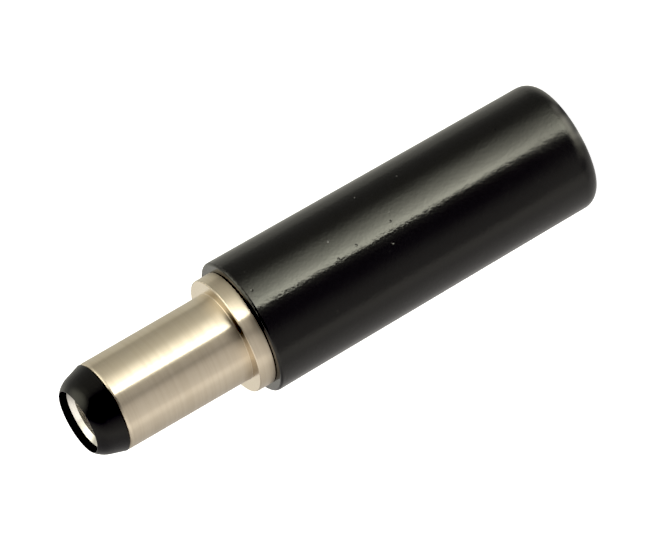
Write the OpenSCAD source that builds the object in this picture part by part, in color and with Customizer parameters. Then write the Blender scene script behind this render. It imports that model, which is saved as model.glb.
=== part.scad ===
// Cable-mounted barrel plug for low-voltage direct current, in millimetres.
// It stands on the flat rear end of its cover with the nose up: the origin is the middle of that end,
// and +Z runs along the axis to the nose. Fine threads are left at their root diameters.

/* [Barrel and flange] */
// Outside diameter of the barrel
barrel_d = 5.5; // [5.2:0.05:5.7]
// Wall of the barrel
barrel_wall = 0.4; // [0.3:0.05:0.5]
// Length from the flange to the tip of the nose
shaft_len = 9.9; // [9:0.1:14]
// Rounding of the front edge of the barrel
barrel_round = 0.25; // [0.1:0.01:0.28]
// Fillet between the barrel and the flange
root_fillet = 0.03; // [0.02:0.01:0.2]
// Diameter of the flange
flange_d = 7.1; // [6.8:0.05:7.5]
// Thickness of the flange
flange_t = 1.05; // [0.6:0.05:1.5]
// Rounding of the flange's edges
flange_round = 0.07; // [0.05:0.01:0.2]

/* [Spigot behind the flange] */
// Outside diameter of the thread
thread_d = 6; // [5.9:0.05:6.3]
// Depth of the thread
thread_depth = 0.3; // [0.2:0.02:0.34]
// Length of the plain register next to the flange
register_len = 0.6; // [0.4:0.1:1]
// Length of the spigot, with its register
spigot_len = 4.4; // [3.5:0.1:5]
// Chamfer at the end of the spigot
spigot_chamfer = 0.2; // [0.1:0.02:0.3]
// Thickness of the wall that closes the rear of the spigot
shoulder_t = 1; // [0.6:0.1:1.5]
// Wall of the collar that is rolled over the terminal
collar_wall = 0.25; // [0.2:0.01:0.3]
// How far the rolled lip stands out from the collar
lip_reach = 0.15; // [0.1:0.01:0.2]
// Height of the rolled lip
lip_h = 0.3; // [0.24:0.02:0.4]

/* [Nose] */
// Length of the nose in front of the barrel
nose_len = 1.65; // [1.5:0.05:2]
// Slope of the nose's side from the axis, in degrees
nose_slope = 17; // [14:0.2:18]
// Rounding between the nose's side and its lip
nose_round = 1.6; // [1.2:0.05:2]
// Diameter of the hole in the nose
mouth_d = 3.9; // [3.6:0.05:4]
// Width of the lip around the hole
lip_w = 0.03; // [0.02:0.01:0.1]
// Wall of the neck that insulates the tail of the contact
neck_wall = 0.76; // [0.65:0.02:0.8]
// How far the neck stands out behind the rolled lip
neck_proud = 0.3; // [0.2:0.05:0.6]

/* [Centre contact] */
// Diameter of the contact's bore
bore_d = 2.5; // [2.1:0.05:2.6]
// Wall of the contact's tube
contact_wall = 0.35; // [0.25:0.01:0.4]
// Depth of the contact's mouth behind the tip of the nose
mouth_recess = 0.45; // [0.3:0.05:0.6]
// Height of the contact's head
head_h = 0.7; // [0.65:0.05:0.9]
// Rim left around the countersink of the mouth
mouth_rim = 0.06; // [0.03:0.01:0.12]
// Depth of the countersink
countersink = 0.26; // [0.2:0.02:0.36]
// Diameter of the throat behind the countersink
throat_d = 3; // [2.8:0.05:3.1]
// Depth of the throat behind the contact's mouth
throat_depth = 0.6; // [0.5:0.02:0.64]
// Length of the lead-in from the throat to the bore
throat_lead = 0.2; // [0.14:0.02:0.3]
// Depth of the bore behind the tip of the nose
bore_depth = 10; // [8:0.5:11]
// Thickness of the bore's floor
floor_t = 0.8; // [0.5:0.1:1.2]
// Number of spring slots in the tube
slot_count = 4; // [2:1:5]
// Width of a slot
slot_w = 0.3; // [0.2:0.02:0.4]
// Length of a slot
slot_len = 6.4; // [4:0.1:6.6]
// Solid tube left between the contact's head and the slots
slot_from_head = 0.9; // [0.6:0.1:1.4]
// Diameter of the contact's tail
tail_d = 1.8; // [1.6:0.05:2]
// Diameter of the tail's riveted end
rivet_d = 2.6; // [2.3:0.05:2.8]
// Height of the tail's riveted end
rivet_h = 0.4; // [0.3:0.05:0.6]

/* [Terminals] */
// Thickness of the terminals' sheet
tag_t = 0.3; // [0.25:0.01:0.35]
// Inside radius of a bend
bend_r = 0.15; // [0.1:0.01:0.2]
// Thickness of the insulating washer
washer_t = 0.7; // [0.5:0.05:1]
// How far the washer stands out past the centre terminal's ring
washer_margin = 0.2; // [0.1:0.05:0.25]
// Width of the centre terminal's tag
centre_tag_w = 1.8; // [1.4:0.05:2]
// Length of the centre terminal's tag
centre_tag_len = 5.6; // [4.5:0.1:6.5]
// Diameter of the solder holes
solder_hole_d = 1.1; // [0.8:0.05:1.2]
// Half the angle that the sleeve terminal's strip spans
strip_half_angle = 24; // [20:1:30]
// Distance from the ring to the clamp's ears
strip_len = 9.7; // [9:0.1:11]
// Distance from the ring to the solder hole
strip_hole_drop = 5.2; // [4:0.1:7]
// Angle of the relief beside the bend
relief_angle = 6; // [4:1:10]
// How far the clamp's ears reach past the axis
ear_reach = 0.95; // [0.5:0.05:1.5]
// Length of the clamp's ears along the cable
clamp_len = 3.4; // [2.4:0.1:3.8]
// Rounding of the corners of the ears
ear_round = 0.8; // [0.4:0.05:1.1]

/* [Cover] */
// Length of the cover
cover_len = 21.95; // [21.5:0.05:26]
// Diameter at the front of the cover
cover_front_d = 8.2; // [7.8:0.05:8.6]
// Diameter at the rear of the cover, before its rounding
cover_rear_d = 7.8; // [7.5:0.05:8.1]
// Rounding at the rear
rear_round = 1; // [0.6:0.05:1.2]
// Rounding at the front
front_round = 0.16; // [0.1:0.02:0.3]
// Lead-in at the mouth of the thread
lead_in = 0.15; // [0.05:0.05:0.25]
// Plain length of the bore past the end of the spigot
bore_runout = 0.4; // [0.3:0.05:0.8]
// Thickness of the rear wall
rear_wall = 2; // [1.5:0.1:2.4]
// Diameter of the cable hole
cable_hole_d = 4.5; // [4:0.05:4.7]
// Rounding of the cable hole's outer edge
hole_round = 0.25; // [0.1:0.01:0.3]
// How much the cavity widens to the front
cavity_draft = 0.06; // [0.04:0.01:0.1]

/* [Clearances] */
// Gap between pieces that are pressed together
press_gap = 0.02; // [0.01:0.01:0.03]
// Gap between the cover and the spigot's register
screw_gap = 0.05; // [0.03:0.01:0.08]
// Gap around the terminals
tag_gap = 0.1; // [0.05:0.01:0.12]

/* [Hidden] */
$fn = 96;

// Heights of the stack, from the cover's rear end at zero to the tip of the nose
flange_z = cover_len + flange_t;
tip_z = flange_z + shaft_len;
barrel_end_z = tip_z - nose_len;
register_z = cover_len - register_len;
spigot_z = cover_len - spigot_len;
shoulder_z = spigot_z + shoulder_t;
strip_ring_z = spigot_z - tag_t;
lip_z = strip_ring_z - lip_h;
neck_z = lip_z - neck_proud;
washer_z = neck_z - washer_t;
centre_ring_z = washer_z - tag_t;
rivet_z = centre_ring_z - rivet_h;
contact_mouth_z = tip_z - mouth_recess;
contact_head_z = contact_mouth_z - head_h;
bore_floor_z = tip_z - bore_depth;
contact_end_z = bore_floor_z - floor_t;
slot_top_z = contact_head_z - slot_from_head;
clamp_top_z = strip_ring_z - strip_len;
clamp_z = clamp_top_z - clamp_len;

// Radii of the pieces inside one another, from the axis outwards
tail_r = tail_d / 2;
neck_bore_r = tail_r + press_gap;
neck_r = neck_bore_r + neck_wall;
collar_bore_r = neck_r + press_gap;
collar_r = collar_bore_r + collar_wall;
lip_r = collar_r + lip_reach;
strip_in_r = lip_r + bend_r + press_gap;
strip_out_r = strip_in_r + tag_t;
cavity_rear_r = strip_out_r + tag_gap;
cavity_front_r = cavity_rear_r + cavity_draft;
contact_r = bore_d / 2 + contact_wall;
mouth_r = mouth_d / 2;
head_r = mouth_r - press_gap;
barrel_r = barrel_d / 2;
barrel_bore_r = barrel_r - barrel_wall;
tube_r = barrel_bore_r - press_gap;
thread_r = thread_d / 2;
thread_root_r = thread_r - thread_depth;
cover_bore_r = thread_r + screw_gap;
flange_r = flange_d / 2;
centre_ring_r = rivet_d / 2 + bend_r + tag_t;
washer_r = centre_ring_r + washer_margin;

// The cover's side is a cone: its slope, and the middle of a rounding that touches it at a height
cover_rear_r = cover_rear_d / 2;
cover_slope = atan((cover_front_d - cover_rear_d) / 2 / cover_len);
function side_round_r(z, round) = cover_rear_r + (z * sin(cover_slope) - round) / cos(cover_slope);

// The nose's rounding touches its cone and passes through the lip. It lies on a line beside the cone.
lip_out_r = mouth_r + lip_w;
cone_dir = [-sin(nose_slope), cos(nose_slope)];
cone_inward = [-cos(nose_slope), -sin(nose_slope)];
from_lip = [barrel_r - lip_out_r, -nose_len] + nose_round * cone_inward;
along_cone = from_lip * cone_dir;
cone_len = -along_cone - sqrt(pow(along_cone, 2) - from_lip * from_lip + pow(nose_round, 2));
nose_base = [barrel_r, barrel_end_z];
nose_middle = nose_base + cone_len * cone_dir + nose_round * cone_inward;

// How far a cutting shape reaches past what it cuts
past = 1;

// How far a sloped side dips into a rounding, so that the two cross cleanly where they would touch
dip = 0.0003;

// A band in the plane of radius and height
module band(r_in, r_out, z_low, z_high) {
    translate([r_in, z_low]) square([r_out - r_in, z_high - z_low]);
}

// A band with its outer corners rounded
module round_band(r_in, r_out, z_low, z_high, round) {
    band(r_in, r_out - round, z_low, z_high);
    band(r_in, r_out, z_low + round, z_high - round);
    for (z = [z_low + round, z_high - round])
        translate([r_out - round, z]) circle(round);
}

// A revolved sheet that spans an angle to both sides of -X, cut out by a wedge
module rolled_sheet(half_angle) {
    wedge_len = strip_out_r + 2 * past;
    half_w = wedge_len * tan(half_angle);
    intersection() {
        rotate_extrude() children();
        linear_extrude(tip_z) polygon([[0, 0], [-wedge_len, half_w], [-wedge_len, -half_w]]);
    }
}

// A quarter ring, as a sheet has at a bend, from the upright leg to the flat one
module bend_section(centre) {
    translate(centre)
        intersection() {
            difference() {
                circle(bend_r + tag_t);
                circle(bend_r);
            }
            square(bend_r + tag_t);
        }
}

module cover() {
    rear_middle = [side_round_r(rear_round, rear_round), rear_round];
    front_middle = [side_round_r(cover_len - front_round, front_round), cover_len - front_round];
    out = [cos(cover_slope), -sin(cover_slope)];
    rear_side = rear_middle + (rear_round - dip) * out;
    front_side = front_middle + (front_round - dip) * out;
    rear_foot = [rear_middle[0], 0];
    front_top = [front_middle[0], cover_len];
    hole_r = cable_hole_d / 2;
    bore_end_z = spigot_z - bore_runout;
    color("#161616") difference() {
        rotate_extrude() {
            polygon([[0, 0], rear_foot, rear_side, front_side, front_top, [0, cover_len]]);
            translate(rear_middle) circle(rear_round);
            translate(front_middle) circle(front_round);
        }
        // Cable hole with a rounded outer edge
        rotate_extrude() {
            band(0, hole_r, -past, rear_wall + past);
            difference() {
                band(0, hole_r + hole_round, -past, hole_round);
                translate([hole_r + hole_round, hole_round]) circle(hole_round);
            }
        }
        // Cavity for the terminals, then the bore for the thread with its lead-in
        translate([0, 0, rear_wall])
            cylinder(h = bore_end_z - rear_wall, r1 = cavity_rear_r, r2 = cavity_front_r);
        translate([0, 0, bore_end_z]) cylinder(h = cover_len - bore_end_z + past, r = cover_bore_r);
        translate([0, 0, cover_len - lead_in])
            cylinder(h = lead_in + past, r1 = cover_bore_r, r2 = cover_bore_r + lead_in + past);
    }
}

module barrel_sleeve() {
    color("#c9c1b2") difference() {
        rotate_extrude() {
            // Barrel with its front edge rounded
            band(0, barrel_r, flange_z - flange_t / 2, barrel_end_z - barrel_round);
            band(0, barrel_r - barrel_round, flange_z, barrel_end_z);
            translate([barrel_r - barrel_round, barrel_end_z - barrel_round]) circle(barrel_round);
            // Fillet at the root of the barrel
            difference() {
                band(barrel_bore_r, barrel_r + root_fillet,
                    flange_z - flange_round, flange_z + root_fillet);
                translate([barrel_r + root_fillet, flange_z + root_fillet]) circle(root_fillet);
            }
            round_band(0, flange_r, cover_len, flange_z, flange_round);
            band(0, thread_r, register_z, cover_len + flange_round);
            // Thread at its root, with a chamfered end
            polygon([[0, spigot_z], [thread_root_r - spigot_chamfer, spigot_z],
                [thread_root_r, spigot_z + spigot_chamfer], [thread_root_r, register_z], [0, register_z]]);
            // Collar, rolled over behind the terminal's ring
            band(0, collar_r, lip_z, spigot_z);
            band(0, lip_r - lip_h / 2, lip_z, strip_ring_z);
            translate([lip_r - lip_h / 2, lip_z + lip_h / 2]) circle(lip_h / 2);
        }
        translate([0, 0, shoulder_z]) cylinder(h = barrel_end_z - shoulder_z + past, r = barrel_bore_r);
        translate([0, 0, lip_z - past]) cylinder(h = shoulder_z - lip_z + 2 * past, r = collar_bore_r);
    }
}

module nose_insulator() {
    nose_side = nose_middle - (nose_round - dip) * cone_inward;
    color("#1b1b1b") difference() {
        rotate_extrude() {
            polygon([[0, barrel_end_z], nose_base, nose_side, [nose_middle[0], tip_z], [0, tip_z]]);
            intersection() {
                translate(nose_middle) circle(nose_round);
                band(0, barrel_r, barrel_end_z, tip_z);
            }
            band(0, tube_r, shoulder_z, barrel_end_z);
            band(0, neck_r, neck_z, shoulder_z);
        }
        translate([0, 0, contact_head_z]) cylinder(h = tip_z - contact_head_z + past, r = mouth_r);
        translate([0, 0, contact_end_z])
            cylinder(h = contact_head_z - contact_end_z + past, r = contact_r + press_gap);
        translate([0, 0, neck_z - past]) cylinder(h = contact_end_z - neck_z + 2 * past, r = neck_bore_r);
    }
}

module centre_contact() {
    bore_r = bore_d / 2;
    sink_r = head_r - mouth_rim;
    throat_r = throat_d / 2;
    dome_r = (pow(rivet_d / 2, 2) + pow(rivet_h, 2)) / (2 * rivet_h);
    color("#d4cdbf") difference() {
        rotate_extrude() {
            band(0, head_r, contact_head_z, contact_mouth_z);
            band(0, contact_r, contact_end_z, contact_head_z);
            band(0, tail_r, centre_ring_z, contact_end_z);
            // Riveted end, a low dome
            intersection() {
                translate([0, rivet_z + dome_r]) circle(dome_r);
                band(0, rivet_d / 2, rivet_z, centre_ring_z);
            }
        }
        translate([0, 0, bore_floor_z]) cylinder(h = contact_mouth_z - bore_floor_z + past, r = bore_r);
        // Mouth for the pin: countersink, throat and lead-in
        rotate_extrude() polygon([[0, contact_mouth_z], [sink_r, contact_mouth_z],
            [throat_r, contact_mouth_z - countersink], [throat_r, contact_mouth_z - throat_depth],
            [bore_r, contact_mouth_z - throat_depth - throat_lead],
            [0, contact_mouth_z - throat_depth - throat_lead]]);
        for (turn = [0 : slot_count - 1])
            rotate([0, 0, (turn + 0.5) * 360 / slot_count])
                translate([0, -slot_w / 2, slot_top_z - slot_len])
                    cube([contact_r + past, slot_w, slot_len]);
    }
}

module rear_washer() {
    color("#6b4a2b") translate([0, 0, washer_z]) difference() {
        cylinder(h = washer_t, r = washer_r);
        translate([0, 0, -past]) cylinder(h = washer_t + 2 * past, r = neck_bore_r);
    }
}

module centre_terminal() {
    tag_face = centre_ring_r - tag_t;
    bend_x = tag_face - bend_r;
    leg_top = centre_ring_z - bend_r;
    tag_end = centre_ring_z - centre_tag_len;
    half_w = centre_tag_w / 2;
    color("#cfc8ba") difference() {
        union() {
            // Ring, cut off where the tag bends down
            intersection() {
                translate([0, 0, centre_ring_z]) cylinder(h = tag_t, r = centre_ring_r);
                translate([-centre_ring_r - past, -centre_ring_r - past, centre_ring_z - past])
                    cube([centre_ring_r + past + bend_x, 2 * (centre_ring_r + past), tag_t + 2 * past]);
            }
            translate([0, half_w, 0]) rotate([90, 0, 0]) linear_extrude(centre_tag_w) {
                bend_section([bend_x, leg_top]);
                band(tag_face, centre_ring_r, tag_end + half_w, leg_top);
            }
            translate([tag_face, 0, tag_end + half_w]) rotate([0, 90, 0]) cylinder(h = tag_t, r = half_w);
        }
        translate([0, 0, centre_ring_z - past]) cylinder(h = tag_t + 2 * past, r = neck_bore_r);
        translate([0, 0, tag_end + half_w]) rotate([0, 90, 0])
            cylinder(h = centre_ring_r + past, r = solder_hole_d / 2);
    }
}

module sleeve_terminal() {
    bend_from_r = strip_in_r - bend_r;
    leg_top = strip_ring_z - bend_r;
    reach = strip_out_r + past;
    color("#cfc8ba") difference() {
        union() {
            // Ring around the collar, cut back where the strip bends down
            difference() {
                translate([0, 0, strip_ring_z]) cylinder(h = tag_t, r = strip_out_r);
                rolled_sheet(strip_half_angle + relief_angle)
                    band(bend_from_r, strip_out_r + past, strip_ring_z - past, spigot_z + past);
            }
            rolled_sheet(strip_half_angle) {
                band(bend_from_r - collar_wall / 2, bend_from_r, strip_ring_z, spigot_z);
                bend_section([bend_from_r, leg_top]);
                band(strip_in_r, strip_out_r, clamp_top_z - clamp_len / 2, leg_top);
            }
            // Clamp, a tube cut to a pair of ears with rounded corners
            intersection() {
                rotate_extrude() band(strip_in_r, strip_out_r, clamp_z - past, clamp_top_z + past);
                translate([0, reach, 0]) rotate([90, 0, 0])
                    linear_extrude(2 * reach) round_band(-reach, ear_reach, clamp_z, clamp_top_z, ear_round);
            }
        }
        translate([0, 0, strip_ring_z - past]) cylinder(h = tag_t + 2 * past, r = collar_r + press_gap);
        translate([0, 0, strip_ring_z - strip_hole_drop]) rotate([0, -90, 0])
            cylinder(h = reach, r = solder_hole_d / 2);
    }
}

cover();
barrel_sleeve();
nose_insulator();
centre_contact();
rear_washer();
centre_terminal();
sleeve_terminal();
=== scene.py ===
import math

import bpy
import numpy as np
from bpy.props import FloatProperty, FloatVectorProperty, PointerProperty
from bpy.types import Operator, Panel, PropertyGroup
from mathutils import Matrix, Vector


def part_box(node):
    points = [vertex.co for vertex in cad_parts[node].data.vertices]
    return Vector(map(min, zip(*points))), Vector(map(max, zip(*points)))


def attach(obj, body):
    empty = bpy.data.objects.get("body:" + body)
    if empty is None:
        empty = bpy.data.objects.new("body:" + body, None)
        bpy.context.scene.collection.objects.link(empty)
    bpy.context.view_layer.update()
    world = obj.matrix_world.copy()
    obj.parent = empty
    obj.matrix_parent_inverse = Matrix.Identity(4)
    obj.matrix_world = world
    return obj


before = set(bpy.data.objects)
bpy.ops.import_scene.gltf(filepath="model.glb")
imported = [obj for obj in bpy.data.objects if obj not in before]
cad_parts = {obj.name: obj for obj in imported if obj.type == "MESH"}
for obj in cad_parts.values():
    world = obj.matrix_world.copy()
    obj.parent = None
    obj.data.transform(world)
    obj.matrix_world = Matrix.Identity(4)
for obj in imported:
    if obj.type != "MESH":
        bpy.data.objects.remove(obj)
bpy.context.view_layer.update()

bl_info = {
    "name": "Barrel plug",
    "version": (1, 0, 0),
    "blender": (4, 5, 0),
    "location": "View3D > Sidebar > Plug",
    "description": "Threads, finishes and studio for a cable-mounted barrel plug",
    "category": "Object",
}

MM = 0.001
TURN = 2 * math.pi
TO_DEGREES = 180 / math.pi
MOUTH_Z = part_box("cover")[1].z

# Thread ridge: how finely it is cut, and its section
STEPS_A_TURN = 144
POINTS_ACROSS = 13
RUN_IN_TURNS = 0.5
RIDGE_POWER = 1.2
RIDGE_HALF_WIDTH = 0.44     # share of the pitch
RIDGE_SINK = 0.02 * MM
CREASE = math.radians(35)

# Floor and foot ring
FLOOR_RADII = np.geomspace(0.5 * MM, 3.0, 24)
RING_RADII = np.array([3.1, 5.7]) * MM
RING_HEIGHT = 0.02 * MM
CORNERS_ROUND = 96

# Picture: its width in pixels, and the camera's sensor in millimetres
IMAGE_W = 666
SENSOR_W = 36

# Finishes: shares of a colour's channels where it is dull, dark or faded, and plain colours
DULL_PLATE = (0.86, 0.83, 0.78)
DULL_TIN = (0.72, 0.70, 0.66)
DARK_BOARD = (0.6, 0.55, 0.5)
FADED_BLACK = (1.7, 1.7, 1.7)
SPECK = (0.24, 0.235, 0.22, 1.0)
SPECK_ROUGHNESS = 0.9
PIT_RARITY = 0.64                 # noise over which pits show
MOULDING_GLINT = (1.0, 0.99, 0.87, 1.0)
WORN_END = (1.5 * MM, 8 * MM)     # heights between which the worn gloss turns full
WORN_ROUGHNESS = 1.5              # times that of full gloss

# Light colours
BLACK = (0.0, 0.0, 0.0, 1.0)
WHITE = (1.0, 1.0, 1.0, 1.0)
SOFTBOX_WHITE = (0.995, 1.0, 0.925, 1.0)
RING_WHITE = (1.0, 0.98, 0.9, 1.0)
WALL_WHITES = ((1.0, 0.985, 0.87, 1.0), (1.0, 0.97, 0.92, 1.0))
FLOOR_GREYS = ((0.83, 0.83, 0.83, 1.0), (0.86, 0.86, 0.86, 1.0))

# Light round the plug. Azimuths and heights are in degrees, and an azimuth is counted from the camera's
# side, towards -X. A step is given as its start, its end and its rise.
WALL_LEVEL = 0.40
WALL_STEPS = (
    (18, 50, 0.23), (64, 72, 0.26), (77, 93, -0.18), (100, 140, -0.11),
    (3, -5, 0.10), (-72, -100, -0.08), (-114, -122, 0.18))
UPPER_WALLS, LOWER_WALLS = (-12, -8), (-22, -27)     # heights over which they begin
# Changes of the upper and the lower walls alike
BOTH_STEPS = ((-10, -4, -0.06), (2, 8, 0.06), (19, 26, 0.16), (36, 56, -0.08), (80, 130, -0.08))
# Changes that are added to the upper walls and taken from the lower ones
LEAN_STEPS = ((-16, -11, 0.25), (-8, -3, -0.25), (40, 58, 0.25), (80, 100, -0.25))
# Changes on the +X side, taken from the upper walls up to the horizon and added above it
SIDE_STEPS = ((-32, -56, 0.32), (-105, -125, -0.32))
# Brightness of the foot ring
RING_LEVEL = 0.22
RING_STEPS = ((16, 7, 0.19), (7, 0, 0.34), (-2, -8, 0.2), (-16, -25, -0.58))
# Brightness of the overhead panel and of the low sheet, by the part of a direction along X
PANEL_LEVEL = 0.4
PANEL_STEPS = ((-0.45, 0.0, 0.4), (0.25, 0.45, -0.6))
SHEET_LEVEL = 0.2
SHEET_STEPS = ((-0.24, -0.02, 0.75), (0.40, 0.6, -0.9))
WING = 1.8                        # times the panel
SOFTBOX_EDGE, SOFTBOX_FADE = -17.0, 20.0
TWO_BOUNCES = 2.5                 # ray depth past which light has bounced twice


# Settings

class ThreadSizes(PropertyGroup):
    """Sizes of the screw thread between the cover and the sleeve."""

    pitch: FloatProperty(
        name="Pitch", description="Rise of the thread in one turn",
        default=0.75 * MM, min=0.3 * MM, max=1.5 * MM, precision=5, unit="LENGTH")
    male_root: FloatProperty(
        name="Spigot root", description="Radius of the spigot under the thread",
        default=2.70 * MM, min=2 * MM, max=4 * MM, precision=5, unit="LENGTH")
    male_crest: FloatProperty(
        name="Spigot crest", description="Radius over the spigot's thread",
        default=2.985 * MM, min=2 * MM, max=4 * MM, precision=5, unit="LENGTH")
    female_root: FloatProperty(
        name="Cover root", description="Radius of the cover's bore",
        default=3.05 * MM, min=2 * MM, max=4 * MM, precision=5, unit="LENGTH")
    female_crest: FloatProperty(
        name="Cover crest", description="Radius inside the cover's thread",
        default=2.765 * MM, min=2 * MM, max=4 * MM, precision=5, unit="LENGTH")
    spigot_deep: FloatProperty(
        name="Spigot thread starts", description="Depth of the spigot's first turn below the cover's mouth",
        default=3.95 * MM, min=0, max=0.02, precision=5, unit="LENGTH")
    spigot_shallow: FloatProperty(
        name="Spigot thread ends", description="Depth of the spigot's last turn below the cover's mouth",
        default=0.95 * MM, min=0, max=0.02, precision=5, unit="LENGTH")
    cover_deep: FloatProperty(
        name="Cover thread starts", description="Depth of the cover's first turn below its mouth",
        default=4.325 * MM, min=0, max=0.02, precision=5, unit="LENGTH")
    cover_shallow: FloatProperty(
        name="Cover thread ends", description="Depth of the cover's last turn below its mouth",
        default=0.575 * MM, min=0, max=0.02, precision=5, unit="LENGTH")


class PlugFinish(PropertyGroup):
    """Colours of the plug's finishes."""

    nickel: FloatVectorProperty(
        name="Nickel", description="Colour of the plated sleeve",
        default=(0.75, 0.66, 0.525), size=3, min=0, max=1, subtype="COLOR")
    contact: FloatVectorProperty(
        name="Contact plate", description="Colour of the plated centre contact",
        default=(0.86, 0.83, 0.77), size=3, min=0, max=1, subtype="COLOR")
    tag: FloatVectorProperty(
        name="Tag plate", description="Colour of the tinned solder tags",
        default=(0.70, 0.68, 0.64), size=3, min=0, max=1, subtype="COLOR")
    cover: FloatVectorProperty(
        name="Cover", description="Colour of the cover's moulding",
        default=(0.0015, 0.0015, 0.0017), size=3, min=0, max=1, subtype="COLOR")
    nose: FloatVectorProperty(
        name="Nose", description="Colour of the nose's moulding",
        default=(0.0018, 0.0018, 0.002), size=3, min=0, max=1, subtype="COLOR")
    board: FloatVectorProperty(
        name="Washer board", description="Colour of the insulating washer",
        default=(0.17, 0.075, 0.03), size=3, min=0, max=1, subtype="COLOR")


class PlugStudio(PropertyGroup):
    """Camera and light around the plug."""

    tilt: FloatProperty(
        name="Camera height", description="Angle of the camera above the horizon",
        default=math.radians(16.5), subtype="ANGLE")
    roll: FloatProperty(
        name="Axis slope", description="Slope of the plug's axis in the picture",
        default=math.radians(30.12), subtype="ANGLE")
    lens: FloatProperty(
        name="Lens", description="Focal length of the camera in millimetres",
        default=1000, min=50, max=2000)
    pixels_per_mm: FloatProperty(
        name="Picture scale", description="Pixels in the picture for a millimetre at the axis",
        default=17.82, min=1, max=100)
    aim_height: FloatProperty(
        name="Aim height", description="Height on the axis in the middle of the picture",
        default=15.83 * MM, precision=5, unit="LENGTH")
    aim_side: FloatProperty(
        name="Aim to the side", description="Offset of the picture's middle from the axis",
        default=-0.157 * MM, precision=5, unit="LENGTH")
    floor_glow: FloatProperty(
        name="Floor glow", description="Light that the floor gives by itself",
        default=1.0, min=0, max=2)
    softbox: FloatProperty(
        name="Softbox", description="Brightness of the main softbox at its sharp edge",
        default=8.3, min=0, max=20)
    walls: FloatProperty(
        name="Walls", description="Brightness of the walls all round",
        default=1.0, min=0, max=5)
    panel: FloatProperty(
        name="Panel", description="Brightness of the panel that hangs overhead",
        default=1.0, min=0, max=10)
    sheet: FloatProperty(
        name="Sheet", description="Brightness of the lit sheet below the table's height",
        default=1.35, min=0, max=10)
    foot_ring: FloatProperty(
        name="Foot ring", description="Brightness of the lit ring on the floor at the cover's foot",
        default=4.6, min=0, max=10)
    black_point: FloatVectorProperty(
        name="Black point", description="Light that the picture shows as black",
        default=(0.017, 0.017, 0.0133), size=3, min=0, max=0.1, precision=4)


# Meshes

def new_object(name, points, faces):
    """A mesh of these points and faces, as an object at the origin."""
    mesh = bpy.data.meshes.new(name)
    mesh.from_pydata(points.reshape(-1, 3), [], faces.tolist())
    mesh.validate()
    thing = bpy.data.objects.new(name, mesh)
    bpy.context.scene.collection.objects.link(thing)
    return thing


def grid_faces(rows, columns):
    """Quads of a grid whose columns close into a ring, and whose first and last rows are left open."""
    row, column = np.meshgrid(np.arange(rows - 1), np.arange(columns), indexing="ij")
    beside = (column + 1) % columns
    corners = [row * columns + column, row * columns + beside,
               (row + 1) * columns + beside, (row + 1) * columns + column]
    return np.stack(corners, axis=-1).reshape(-1, 4)


def outward(points, faces):
    """The faces of a closed mesh, turned round together if the volume that they enclose is negative.

    That volume is the sum of the tetrahedra between the origin and the two halves of each face.
    """
    a, b, c, d = (points[faces[:, corner]] for corner in range(4))
    volume = np.einsum("ij,ij->", a, np.cross(b, c)) + np.einsum("ij,ij->", a, np.cross(c, d))
    return faces[:, ::-1] if volume < 0 else faces


def smooth_step(x):
    """0 below 0, 1 above 1, and 3x^2 - 2x^3 between."""
    x = np.clip(x, 0, 1)
    return x * x * (3 - 2 * x)


def screw_ridge(name, root, crest, pitch, low, high, phase):
    """A thread ridge: a rounded triangular section carried along a helix.

    Along the path the angle grows evenly from the phase and the height rises by one pitch a turn.
    Around the section a parameter goes once round a flat loop: the outer half is the ridge, whose
    height over the root follows a cosine power, and the inner half lies a little inside the wall.
    Over the first and last half turn the ridge grows out of the wall by a smooth step.
    """
    turns = (high - low) / pitch
    rows = int(turns * STEPS_A_TURN)
    along = np.linspace(0, turns, rows)[:, None]
    across = np.linspace(-1, 1, POINTS_ACROSS)[None, :]
    sink = RIDGE_SINK * np.sign(root - crest)
    grow = smooth_step(along / RUN_IN_TURNS) * smooth_step((turns - along) / RUN_IN_TURNS)
    ridge = np.cos(across * math.pi / 2) ** RIDGE_POWER
    outer = root + sink * 0.5 + (crest - root) * grow * ridge
    inner = np.broadcast_to(root + sink * 2, outer.shape)
    radius = np.concatenate([outer, inner[:, ::-1]], axis=1)
    shift = np.concatenate([across, across[:, ::-1]], axis=1) * pitch * RIDGE_HALF_WIDTH
    angle = phase + TURN * along
    height = low + pitch * along + shift
    points = np.stack([radius * np.cos(angle), radius * np.sin(angle), height], axis=-1)
    columns = points.shape[1]
    half = np.arange(columns // 2 - 1)
    cap = np.stack([half, half + 1, columns - 2 - half, columns - 1 - half], axis=-1)
    far_cap = cap + (rows - 1) * columns
    faces = np.concatenate([grid_faces(rows, columns), cap[:, ::-1], far_cap])
    thread = new_object(name, points, outward(points.reshape(-1, 3), faces))
    thread.data.shade_smooth()
    thread.data.set_sharp_from_angle(angle=CREASE)
    return thread


def flat_ring(name, radii, height):
    """A flat sheet round the axis: circles of these radii at one height, joined by quads that face up."""
    radius = radii[:, None]
    angle = np.linspace(0, TURN, CORNERS_ROUND, endpoint=False)[None, :]
    points = np.broadcast_arrays(radius * np.cos(angle), radius * np.sin(angle), height)
    faces = grid_faces(len(radii), CORNERS_ROUND)[:, ::-1]
    return new_object(name, np.stack(points, axis=-1), faces)


# Shader nodes

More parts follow.
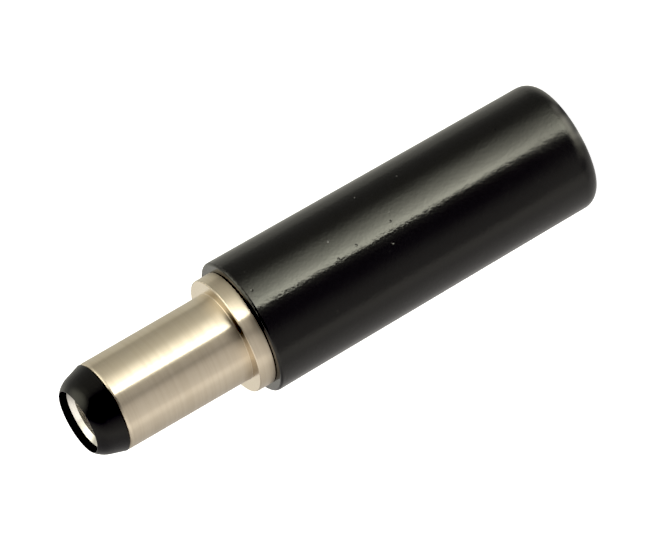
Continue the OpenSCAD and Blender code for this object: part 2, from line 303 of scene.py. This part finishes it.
class Graph:
    """Short words for building a node tree: every value may be a number or another node's output."""

    def __init__(self, tree):
        self.tree = tree

    def node(self, kind, **settings):
        made = self.tree.nodes.new(kind)
        for key, value in settings.items():
            setattr(made, key, value)
        return made

    def feed(self, socket, value):
        if isinstance(value, bpy.types.NodeSocket):
            self.tree.links.new(value, socket)
        else:
            socket.default_value = value

    def set(self, node, **values):
        """Feeds a node's inputs by their names, whose words are joined by underscores."""
        for key, value in values.items():
            self.feed(node.inputs[key.replace("_", " ")], value)
        return node.outputs

    def math(self, operation, *values):
        made = self.node("ShaderNodeMath", operation=operation)
        for socket, value in zip(made.inputs, values):
            self.feed(socket, value)
        return made.outputs[0]

    def product(self, first, *others):
        """The values multiplied together."""
        for value in others:
            first = self.math("MULTIPLY", first, value)
        return first

    def plus(self, total, *factors):
        """The total and the product of the factors, added."""
        return self.math("ADD", total, self.product(*factors))

    def ramp(self, value, start, end, low=0.0, high=1.0):
        """A smooth step of the value from low at start to high at end."""
        made = self.node("ShaderNodeMapRange", interpolation_type="SMOOTHSTEP")
        for socket, given in zip(made.inputs, (value, start, end, low, high)):
            self.feed(socket, given)
        return made.outputs[0]

    def window(self, value, *edges):
        """1 inside smooth edges and 0 outside, each edge given as the values where it is 0 and 1."""
        return self.product(*(self.ramp(value, *edge) for edge in edges))

    def stairs(self, value, level, *steps):
        """A level changed by smooth steps of the value, each given as its start, end and rise."""
        for start, end, rise in steps:
            level = self.math("ADD", level, self.ramp(value, start, end, high=rise))
        return level

    def mix(self, share, first, second):
        """A blend of two numbers."""
        made = self.node("ShaderNodeMix", data_type="FLOAT")
        for socket, value in zip((made.inputs[0], made.inputs[2], made.inputs[3]), (share, first, second)):
            self.feed(socket, value)
        return made.outputs[0]

    def tint(self, share, first, second):
        """A blend of two colours."""
        made = self.node("ShaderNodeMix", data_type="RGBA")
        for socket, value in zip((made.inputs[0], made.inputs[6], made.inputs[7]), (share, first, second)):
            self.feed(socket, value)
        return made.outputs[2]

    def parts(self, vector):
        """The vector's X, Y and Z."""
        return tuple(self.set(self.node("ShaderNodeSeparateXYZ"), Vector=vector))

    def length(self, vector):
        made = self.node("ShaderNodeVectorMath", operation="LENGTH")
        self.feed(made.inputs[0], vector)
        return made.outputs["Value"]

    def bearings(self, vector):
        """The vector's part along X, toward the camera's side and up, and its azimuth from that side."""
        side, away, up = self.parts(vector)
        toward = self.product(away, -1.0)
        azimuth = self.math("ARCTAN2", self.product(side, -1.0), toward)
        return side, toward, up, self.product(azimuth, TO_DEGREES)

    def stretched(self, vector, scale):
        """The vector times a scale on each axis."""
        return self.set(self.node("ShaderNodeMapping", vector_type="POINT"), Vector=vector, Scale=scale)[0]

    def noise(self, vector, scale=1.0, detail=2.0, rough=0.5):
        made = self.node("ShaderNodeTexNoise")
        return self.set(made, Vector=vector, Scale=scale, Detail=detail, Roughness=rough)[0]

    def cells(self, vector, scale):
        return self.set(self.node("ShaderNodeTexVoronoi"), Vector=vector, Scale=scale)


def effect(name, inputs, outputs, wire):
    """The shader node group of this name: made on its first use, with a vector and numbers as sockets."""
    tree = bpy.data.node_groups.get(name)
    if tree is None:
        tree = bpy.data.node_groups.new(name, "ShaderNodeTree")
        new_socket = tree.interface.new_socket
        new_socket(name="Vector", in_out="INPUT", socket_type="NodeSocketVector")
        for label, default in inputs.items():
            new_socket(name=label, in_out="INPUT", socket_type="NodeSocketFloat").default_value = default
        for label in outputs:
            new_socket(name=label, in_out="OUTPUT", socket_type="NodeSocketFloat")
        g = Graph(tree)
        wire(g, g.node("NodeGroupInput").outputs, g.node("NodeGroupOutput").inputs)
    return tree


def turning_marks():
    """Marks of a lathe: rings and broader streaks, from noise that runs fast along Z and slowly across."""

    def wire(g, given, result):
        x, y, z = g.parts(given["Vector"])
        ring = g.set(
            g.node("ShaderNodeCombineXYZ"), X=g.product(x, given["Unevenness"]),
            Y=g.product(y, given["Unevenness"]), Z=g.product(z, given["Rings per metre"]))[0]
        g.feed(result["Height"], g.noise(ring, scale=1.0, detail=0.0))
        g.feed(result["Streak"], g.noise(ring, scale=0.45, detail=2.0, rough=0.6))

    return effect(
        "Turning marks", {"Rings per metre": 12000.0, "Unevenness": 250.0}, ("Height", "Streak"), wire)


def moulded_grain():
    """Skin of a moulding: a broad waviness, a fine grain and a few shallow pits."""

    def wire(g, given, result):
        place = given["Vector"]
        from_pit = g.cells(place, scale=1500.0)["Distance"]
        hollow = g.math("SUBTRACT", g.ramp(from_pit, 0.05, 0.16), 1.0)
        chosen = g.math("GREATER_THAN", g.noise(place, scale=900.0, detail=0.0), PIT_RARITY)
        height = g.product(g.noise(place, scale=420.0, detail=3.0), given["Wave"])
        height = g.plus(height, g.noise(place, scale=6000.0, detail=2.0), given["Grain"])
        g.feed(result["Height"], g.plus(height, hollow, chosen, given["Pits"]))
        g.feed(result["Patch"], g.noise(place, scale=160.0, detail=3.0))

    return effect("Moulded grain", {"Wave": 0.5, "Grain": 0.5, "Pits": 0.5}, ("Height", "Patch"), wire)


def dust_specks():
    """A few pale specks of uneven strength: small discs in scattered cells, of which a share is kept."""

    def wire(g, given, result):
        cell = g.cells(given["Vector"], given["Cells per metre"])
        pick = g.set(g.node("ShaderNodeSeparateColor"), Color=cell["Color"])
        kept = g.math("LESS_THAN", pick[0], given["Share"])
        near = g.math("LESS_THAN", cell["Distance"], given["Size"])
        strength = g.ramp(pick[1], 0.0, 1.0, low=0.15)
        g.feed(result["Mask"], g.product(kept, strength, near))

    return effect("Dust specks", {"Cells per metre": 700.0, "Share": 0.22, "Size": 0.05}, ("Mask",), wire)


def use_effect(g, group, **values):
    """The outputs of this group, placed with values by socket name."""
    return g.set(g.node("ShaderNodeGroup", node_tree=group), **values)


def new_material(name):
    """A new material with its graph, its surface shader and the object's own coordinates."""
    material = bpy.data.materials.new(name)
    material.use_nodes = True
    material.node_tree.nodes.clear()
    g = Graph(material.node_tree)
    surface = g.node("ShaderNodeBsdfPrincipled")
    g.set(g.node("ShaderNodeOutputMaterial"), Surface=surface.outputs[0])
    return material, g, surface, g.node("ShaderNodeTexCoord").outputs["Object"]


def roughen(g, surface, height, depth):
    """Bump of this depth in metres on the surface's normal."""
    bump = g.set(g.node("ShaderNodeBump"), Strength=1.0, Distance=depth, Height=height)
    g.set(surface, Normal=bump[0])


def shade(colour, shares=(1, 1, 1)):
    """The colour with each channel times its share."""
    return (*(channel * share for channel, share in zip(colour, shares)), 1.0)


def turned_plate(name, colour, side_rough, face_rough, rings, depth):
    """Plated turning: lathe rings, streaks and patches of duller metal, and faces smoother than sides."""
    material, g, surface, place = new_material(name)
    marks = use_effect(g, turning_marks(), Vector=place, Rings_per_metre=rings)
    upright = g.parts(g.node("ShaderNodeTexCoord").outputs["Normal"])[2]
    flat = g.ramp(g.math("ABSOLUTE", upright), 0.45, 0.85)
    patch = g.ramp(g.noise(place, scale=500.0, detail=3.0), 0.35, 0.75, high=0.15)
    dulled = g.math("ADD", patch, g.ramp(marks["Streak"], 0.35, 0.65, high=0.25))
    rough = g.mix(flat, side_rough, face_rough)
    g.set(
        surface, Base_Color=g.tint(dulled, shade(colour), shade(colour, DULL_PLATE)),
        Roughness=g.product(rough, g.ramp(marks["Streak"], 0.3, 0.7, low=0.96, high=1.12)),
        Metallic=1.0, Anisotropic=1.0, Anisotropic_Rotation=0.25,
        Tangent=g.node("ShaderNodeTangent", direction_type="RADIAL", axis="Z").outputs[0])
    roughen(g, surface, marks["Height"], depth)
    return material


def sheet_plate(name, colour):
    """Tinned sheet: pale metal with drawn-out rolling lines and cloudy tin."""
    material, g, surface, place = new_material(name)
    lines = g.noise(g.stretched(place, (6000.0, 6000.0, 350.0)), detail=3.0)
    cloud = g.noise(place, scale=900.0, detail=4.0, rough=0.6)
    g.set(
        surface, Base_Color=g.tint(g.ramp(cloud, 0.35, 0.8), shade(colour), shade(colour, DULL_TIN)),
        Roughness=g.ramp(cloud, 0.3, 0.8, low=0.24, high=0.42), Metallic=1.0)
    roughen(g, surface, g.math("ADD", lines, cloud), depth=1.2e-6)
    return material


def black_moulding(name, colour, rough, index, wave, grain, pits, depth):
    """Black moulding: a grained skin, softer gloss in patches and at the rear, and a few specks of dust."""
    material, g, surface, place = new_material(name)
    skin = use_effect(g, moulded_grain(), Vector=place, Wave=wave, Grain=grain, Pits=pits)
    speck = use_effect(g, dust_specks(), Vector=place)["Mask"]
    black = g.tint(g.ramp(skin["Patch"], 0.4, 0.8), shade(colour), shade(colour, FADED_BLACK))
    worn = g.ramp(g.parts(place)[2], *WORN_END, low=rough * WORN_ROUGHNESS, high=rough)
    gloss = g.product(worn, g.ramp(skin["Patch"], 0.3, 0.8, low=0.85, high=1.25))
    g.set(
        surface, Base_Color=g.tint(speck, black, SPECK), Roughness=g.mix(speck, gloss, SPECK_ROUGHNESS),
        IOR=index, Specular_Tint=MOULDING_GLINT)
    roughen(g, surface, skin["Height"], depth)
    return material


def washer_board(name, colour):
    """Laminated paper board: brown, with layers seen at its rim and fibres on its faces."""
    material, g, surface, place = new_material(name)
    layers = g.noise(g.stretched(place, (400.0, 400.0, 14000.0)), detail=2.0)
    fibres = g.noise(g.stretched(place, (5000.0, 1200.0, 5000.0)), detail=3.0)
    pattern = g.product(g.math("ADD", layers, fibres), 0.5)
    g.set(
        surface, Base_Color=g.tint(g.ramp(pattern, 0.35, 0.65), shade(colour, DARK_BOARD), shade(colour)),
        Roughness=g.ramp(fibres, 0.3, 0.7, low=0.5, high=0.7))
    roughen(g, surface, pattern, depth=3e-6)
    return material


def paint(material, *nodes):
    """Gives the material to these CAD nodes."""
    for name in nodes:
        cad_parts[name].material_slots[0].material = material


# Operators

class PLUG_OT_cover(Operator):
    """Finishes the cover and cuts the thread in its mouth"""

    bl_idname = "plug.cover"
    bl_label = "Cover and its thread"

    def execute(self, context):
        size, finish = context.scene.plug_thread, context.scene.plug_finish
        plastic = black_moulding(
            "gloss black moulding", finish.cover, rough=0.14, index=1.53,
            wave=0.7, grain=0.22, pits=0.3, depth=4e-5)
        paint(plastic, "cover")
        thread = screw_ridge(
            "cover_thread", size.female_root, size.female_crest, size.pitch,
            MOUTH_Z - size.cover_deep, MOUTH_Z - size.cover_shallow, math.pi)
        thread.data.materials.append(plastic)
        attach(thread, "cover")
        return {"FINISHED"}


class PLUG_OT_sleeve(Operator):
    """Finishes the plated sleeve and cuts the thread on its spigot"""

    bl_idname = "plug.sleeve"
    bl_label = "Sleeve and its thread"

    def execute(self, context):
        size, finish = context.scene.plug_thread, context.scene.plug_finish
        nickel = turned_plate(
            "turned nickel", finish.nickel, side_rough=0.30, face_rough=0.13, rings=12000.0, depth=6e-8)
        paint(nickel, "barrel_sleeve")
        thread = screw_ridge(
            "spigot_thread", size.male_root, size.male_crest, size.pitch,
            MOUTH_Z - size.spigot_deep, MOUTH_Z - size.spigot_shallow, math.pi)
        thread.data.materials.append(nickel)
        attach(thread, "plug_core")
        return {"FINISHED"}


class PLUG_OT_nose(Operator):
    """Finishes the insulating nose"""

    bl_idname = "plug.nose"
    bl_label = "Nose"

    def execute(self, context):
        plastic = black_moulding(
            "satin black moulding", context.scene.plug_finish.nose, rough=0.30, index=1.42,
            wave=0.5, grain=0.1, pits=0.05, depth=4e-5)
        paint(plastic, "nose_insulator")
        return {"FINISHED"}


class PLUG_OT_contact(Operator):
    """Finishes the centre contact"""

    bl_idname = "plug.contact"
    bl_label = "Centre contact"

    def execute(self, context):
        plate = turned_plate(
            "bright contact plate", context.scene.plug_finish.contact,
            side_rough=0.22, face_rough=0.15, rings=16000.0, depth=5e-8)
        paint(plate, "centre_contact")
        return {"FINISHED"}


class PLUG_OT_terminals(Operator):
    """Finishes the solder tags and the washer between them"""

    bl_idname = "plug.terminals"
    bl_label = "Terminals and washer"

    def execute(self, context):
        finish = context.scene.plug_finish
        paint(sheet_plate("tinned tag", finish.tag), "centre_terminal", "sleeve_terminal")
        paint(washer_board("brown board", finish.board), "rear_washer")
        return {"FINISHED"}


class PLUG_OT_stage(Operator):
    """Sets the floor, the light and the camera"""

    bl_idname = "plug.stage"
    bl_label = "Floor, light and camera"

    def execute(self, context):
        studio = context.scene.plug_studio
        self.lay_floor(studio)
        self.light_foot(studio)
        self.light_room(context.scene, studio)
        self.set_camera(context.scene, studio)
        view = context.scene.view_settings
        view.view_transform = "Standard"
        view.use_curve_mapping = True
        view.curve_mapping.black_level = studio.black_point
        view.curve_mapping.update()
        return {"FINISHED"}

    def lay_floor(self, studio):
        """A pale round floor that gives some light by itself."""
        floor = flat_ring("floor", FLOOR_RADII, 0.0)
        material, g, surface, place = new_material("pale floor")
        g.set(
            surface, Base_Color=g.tint(g.noise(place, scale=40.0, detail=2.0), *FLOOR_GREYS), Roughness=0.9,
            Specular_IOR_Level=0.0, Emission_Color=WHITE, Emission_Strength=studio.floor_glow)
        floor.data.materials.append(material)
        floor.visible_glossy = False

    def light_foot(self, studio):
        """A lit ring round the cover's foot, seen only in reflections.

        It glows on the near side, and fades to both sides, outwards and under the cover.
        """
        ring = flat_ring("foot_ring", RING_RADII, RING_HEIGHT)
        material, g, surface, place = new_material("lit foot ring")
        azimuth, radius = g.bearings(place)[3], g.length(place)
        under = g.ramp(azimuth, -6, 6, low=0.15, high=0.5)
        inwards = g.ramp(radius, 3.4 * MM, 4.2 * MM, low=under)
        outwards = g.ramp(radius, 5.15 * MM, 4.4 * MM)
        glow = g.product(g.stairs(azimuth, RING_LEVEL, *RING_STEPS), inwards)
        g.set(
            surface, Base_Color=BLACK, Specular_IOR_Level=0.0,
            Alpha=g.product(g.window(azimuth, (30, 18), (-44, -30)), outwards),
            Emission_Color=g.tint(glow, BLACK, RING_WHITE), Emission_Strength=studio.foot_ring)
        ring.data.materials.append(material)
        for kind in ("camera", "diffuse", "transmission", "volume_scatter", "shadow"):
            setattr(ring, "visible_" + kind, False)

    def light_room(self, scene, studio):
        """Light from all round, by azimuth from the camera's side and by height, in degrees.

        What two bounces send back to the camera's own side finds only the dark lens there.
        """
        world = bpy.data.worlds.new("studio")
        scene.world = world
        world.use_nodes = True
        world.node_tree.nodes.clear()
        g = Graph(world.node_tree)
        side, toward, up, azimuth = g.bearings(g.node("ShaderNodeTexCoord").outputs["Generated"])
        height = g.product(g.math("ARCSINE", up), TO_DEGREES)
        tone = self.wall_light(g, azimuth, height, studio.walls)
        tone = g.plus(tone, self.panel_light(g, side, toward, height), studio.panel)
        tone = g.plus(tone, self.sheet_light(g, side, toward, height), studio.sheet)
        box = self.softbox_light(g, azimuth, height)
        bounced = g.math("GREATER_THAN", g.node("ShaderNodeLightPath").outputs["Ray Depth"], TWO_BOUNCES)
        lens = g.window(azimuth, (-60, -40), (28, 20))
        clear = g.math("SUBTRACT", 1.0, g.product(lens, bounced))
        cast = g.tint(g.ramp(azimuth, -60, 30), *WALL_WHITES)
        lights = g.node("ShaderNodeAddShader")
        for socket, colour, strength in (
                (lights.inputs[0], cast, g.product(tone, clear)),
                (lights.inputs[1], SOFTBOX_WHITE, g.product(box, clear, studio.softbox))):
            light = g.set(g.node("ShaderNodeBackground"), Color=colour, Strength=strength)
            g.feed(socket, light[0])
        g.set(g.node("ShaderNodeOutputWorld"), Surface=lights.outputs[0])

    def wall_light(self, g, azimuth, height, level):
        """Walls that change in smooth steps round the plug, and in other steps higher up and lower down.

        They are dark high up on the near side, and lighter at the back above the horizon, with a dip.
        """
        tone = g.stairs(azimuth, WALL_LEVEL, *WALL_STEPS)
        upper, lower = g.ramp(height, *UPPER_WALLS), g.ramp(height, *LOWER_WALLS)
        tone = g.plus(tone, g.stairs(azimuth, 0.0, *BOTH_STEPS), g.math("ADD", upper, lower))
        tone = g.plus(tone, g.stairs(azimuth, 0.0, *LEAN_STEPS), g.math("SUBTRACT", upper, lower))
        split = g.plus(g.ramp(height, -3, 4, high=2.1), upper, -1.2)
        tone = g.plus(tone, g.stairs(azimuth, 0.0, *SIDE_STEPS), split)
        near = g.product(g.window(azimuth, (-50, -25), (60, 10)), g.ramp(height, 0, 25, high=0.9))
        tone = g.product(tone, g.math("SUBTRACT", level, near))
        back = g.stairs(azimuth, 0.0, (-125, -150, 0.3), (158, 178, 0.3))
        dip = g.product(g.window(azimuth, (100, 125), (176, 158)), -0.15)
        return g.plus(tone, g.math("ADD", back, dip), g.window(height, (2, 12), (40, 26)))

    def panel_light(self, g, side, toward, height):
        """A panel that hangs overhead at the back, with a brighter wing of it to one side."""
        panel = g.product(
            g.ramp(height, 35, 60), g.ramp(toward, 0.15, -0.1), g.stairs(side, PANEL_LEVEL, *PANEL_STEPS))
        wing = g.product(
            g.ramp(height, 22, 42), g.ramp(side, 0.2, 0.5), g.window(toward, (0.62, 0.32), (-0.6, -0.2)))
        return g.plus(panel, wing, WING)

    def sheet_light(self, g, side, toward, height):
        """A lit sheet that hangs low in front."""
        return g.product(
            g.window(toward, (0.9, 0.8), (0.60, 0.72)), g.stairs(side, SHEET_LEVEL, *SHEET_STEPS),
            g.ramp(height, -20, -36))

    def softbox_light(self, g, azimuth, height):
        """A softbox that ends sharply on one side, and fades to the other by an exponential and downwards."""
        past_edge = g.math("SUBTRACT", azimuth, SOFTBOX_EDGE)
        fade = g.math("EXPONENT", g.math("DIVIDE", past_edge, SOFTBOX_FADE))
        return g.product(
            fade, g.window(azimuth, (-80, -46), (-12.6, -16.4)), g.window(height, (-74, -62), (-8, -12.5)),
            g.ramp(height, -45, -24, low=0.6))

    def set_camera(self, scene, studio):
        """A long lens on the near side, raised by the tilt and rolled to slope the axis in the picture."""
        tilt, roll = studio.tilt, studio.roll
        back = Vector((0, -math.cos(tilt), math.sin(tilt)))
        upright = Vector((0, math.sin(tilt), math.cos(tilt)))
        aside = Vector((1, 0, 0))
        right = -math.cos(roll) * upright - math.sin(roll) * aside
        up = -math.sin(roll) * upright + math.cos(roll) * aside
        data = bpy.data.cameras.new("camera")
        data.lens = studio.lens
        data.sensor_width = SENSOR_W
        width = IMAGE_W / studio.pixels_per_mm * MM
        distance = width * data.lens / data.sensor_width
        data.clip_start, data.clip_end = distance * 0.1, distance * 10
        aim = Vector((studio.aim_side, 0, studio.aim_height))
        turned = Matrix((right, up, back)).transposed().to_4x4()
        camera = bpy.data.objects.new("camera", data)
        camera.matrix_world = Matrix.Translation(aim + back * distance) @ turned
        scene.collection.objects.link(camera)
        scene.camera = camera


class PLUG_PT_panel(Panel):
    """Lists the plug's pieces and settings"""

    bl_label = "Barrel plug"
    bl_idname = "PLUG_PT_panel"
    bl_space_type = "VIEW_3D"
    bl_region_type = "UI"
    bl_category = "Plug"

    def draw(self, context):
        for piece in PIECES:
            self.layout.operator(piece.bl_idname)
        for key in SETTINGS:
            settings = getattr(context.scene, key)
            box = self.layout.box()
            for setting in settings.__annotations__:
                box.prop(settings, setting)


SETTINGS = {"plug_thread": ThreadSizes, "plug_finish": PlugFinish, "plug_studio": PlugStudio}
PIECES = (
    PLUG_OT_cover, PLUG_OT_sleeve, PLUG_OT_nose, PLUG_OT_contact, PLUG_OT_terminals, PLUG_OT_stage)
CLASSES = (*SETTINGS.values(), *PIECES, PLUG_PT_panel)


def register():
    for made in CLASSES:
        bpy.utils.register_class(made)
    for key, kind in SETTINGS.items():
        setattr(bpy.types.Scene, key, PointerProperty(type=kind))


def unregister():
    for key in SETTINGS:
        delattr(bpy.types.Scene, key)
    for made in reversed(CLASSES):
        bpy.utils.unregister_class(made)


def main():
    register()
    bpy.ops.plug.cover()
    bpy.ops.plug.sleeve()
    bpy.ops.plug.nose()
    bpy.ops.plug.contact()
    bpy.ops.plug.terminals()
    bpy.ops.plug.stage()


if __name__ == "__main__":
    main()
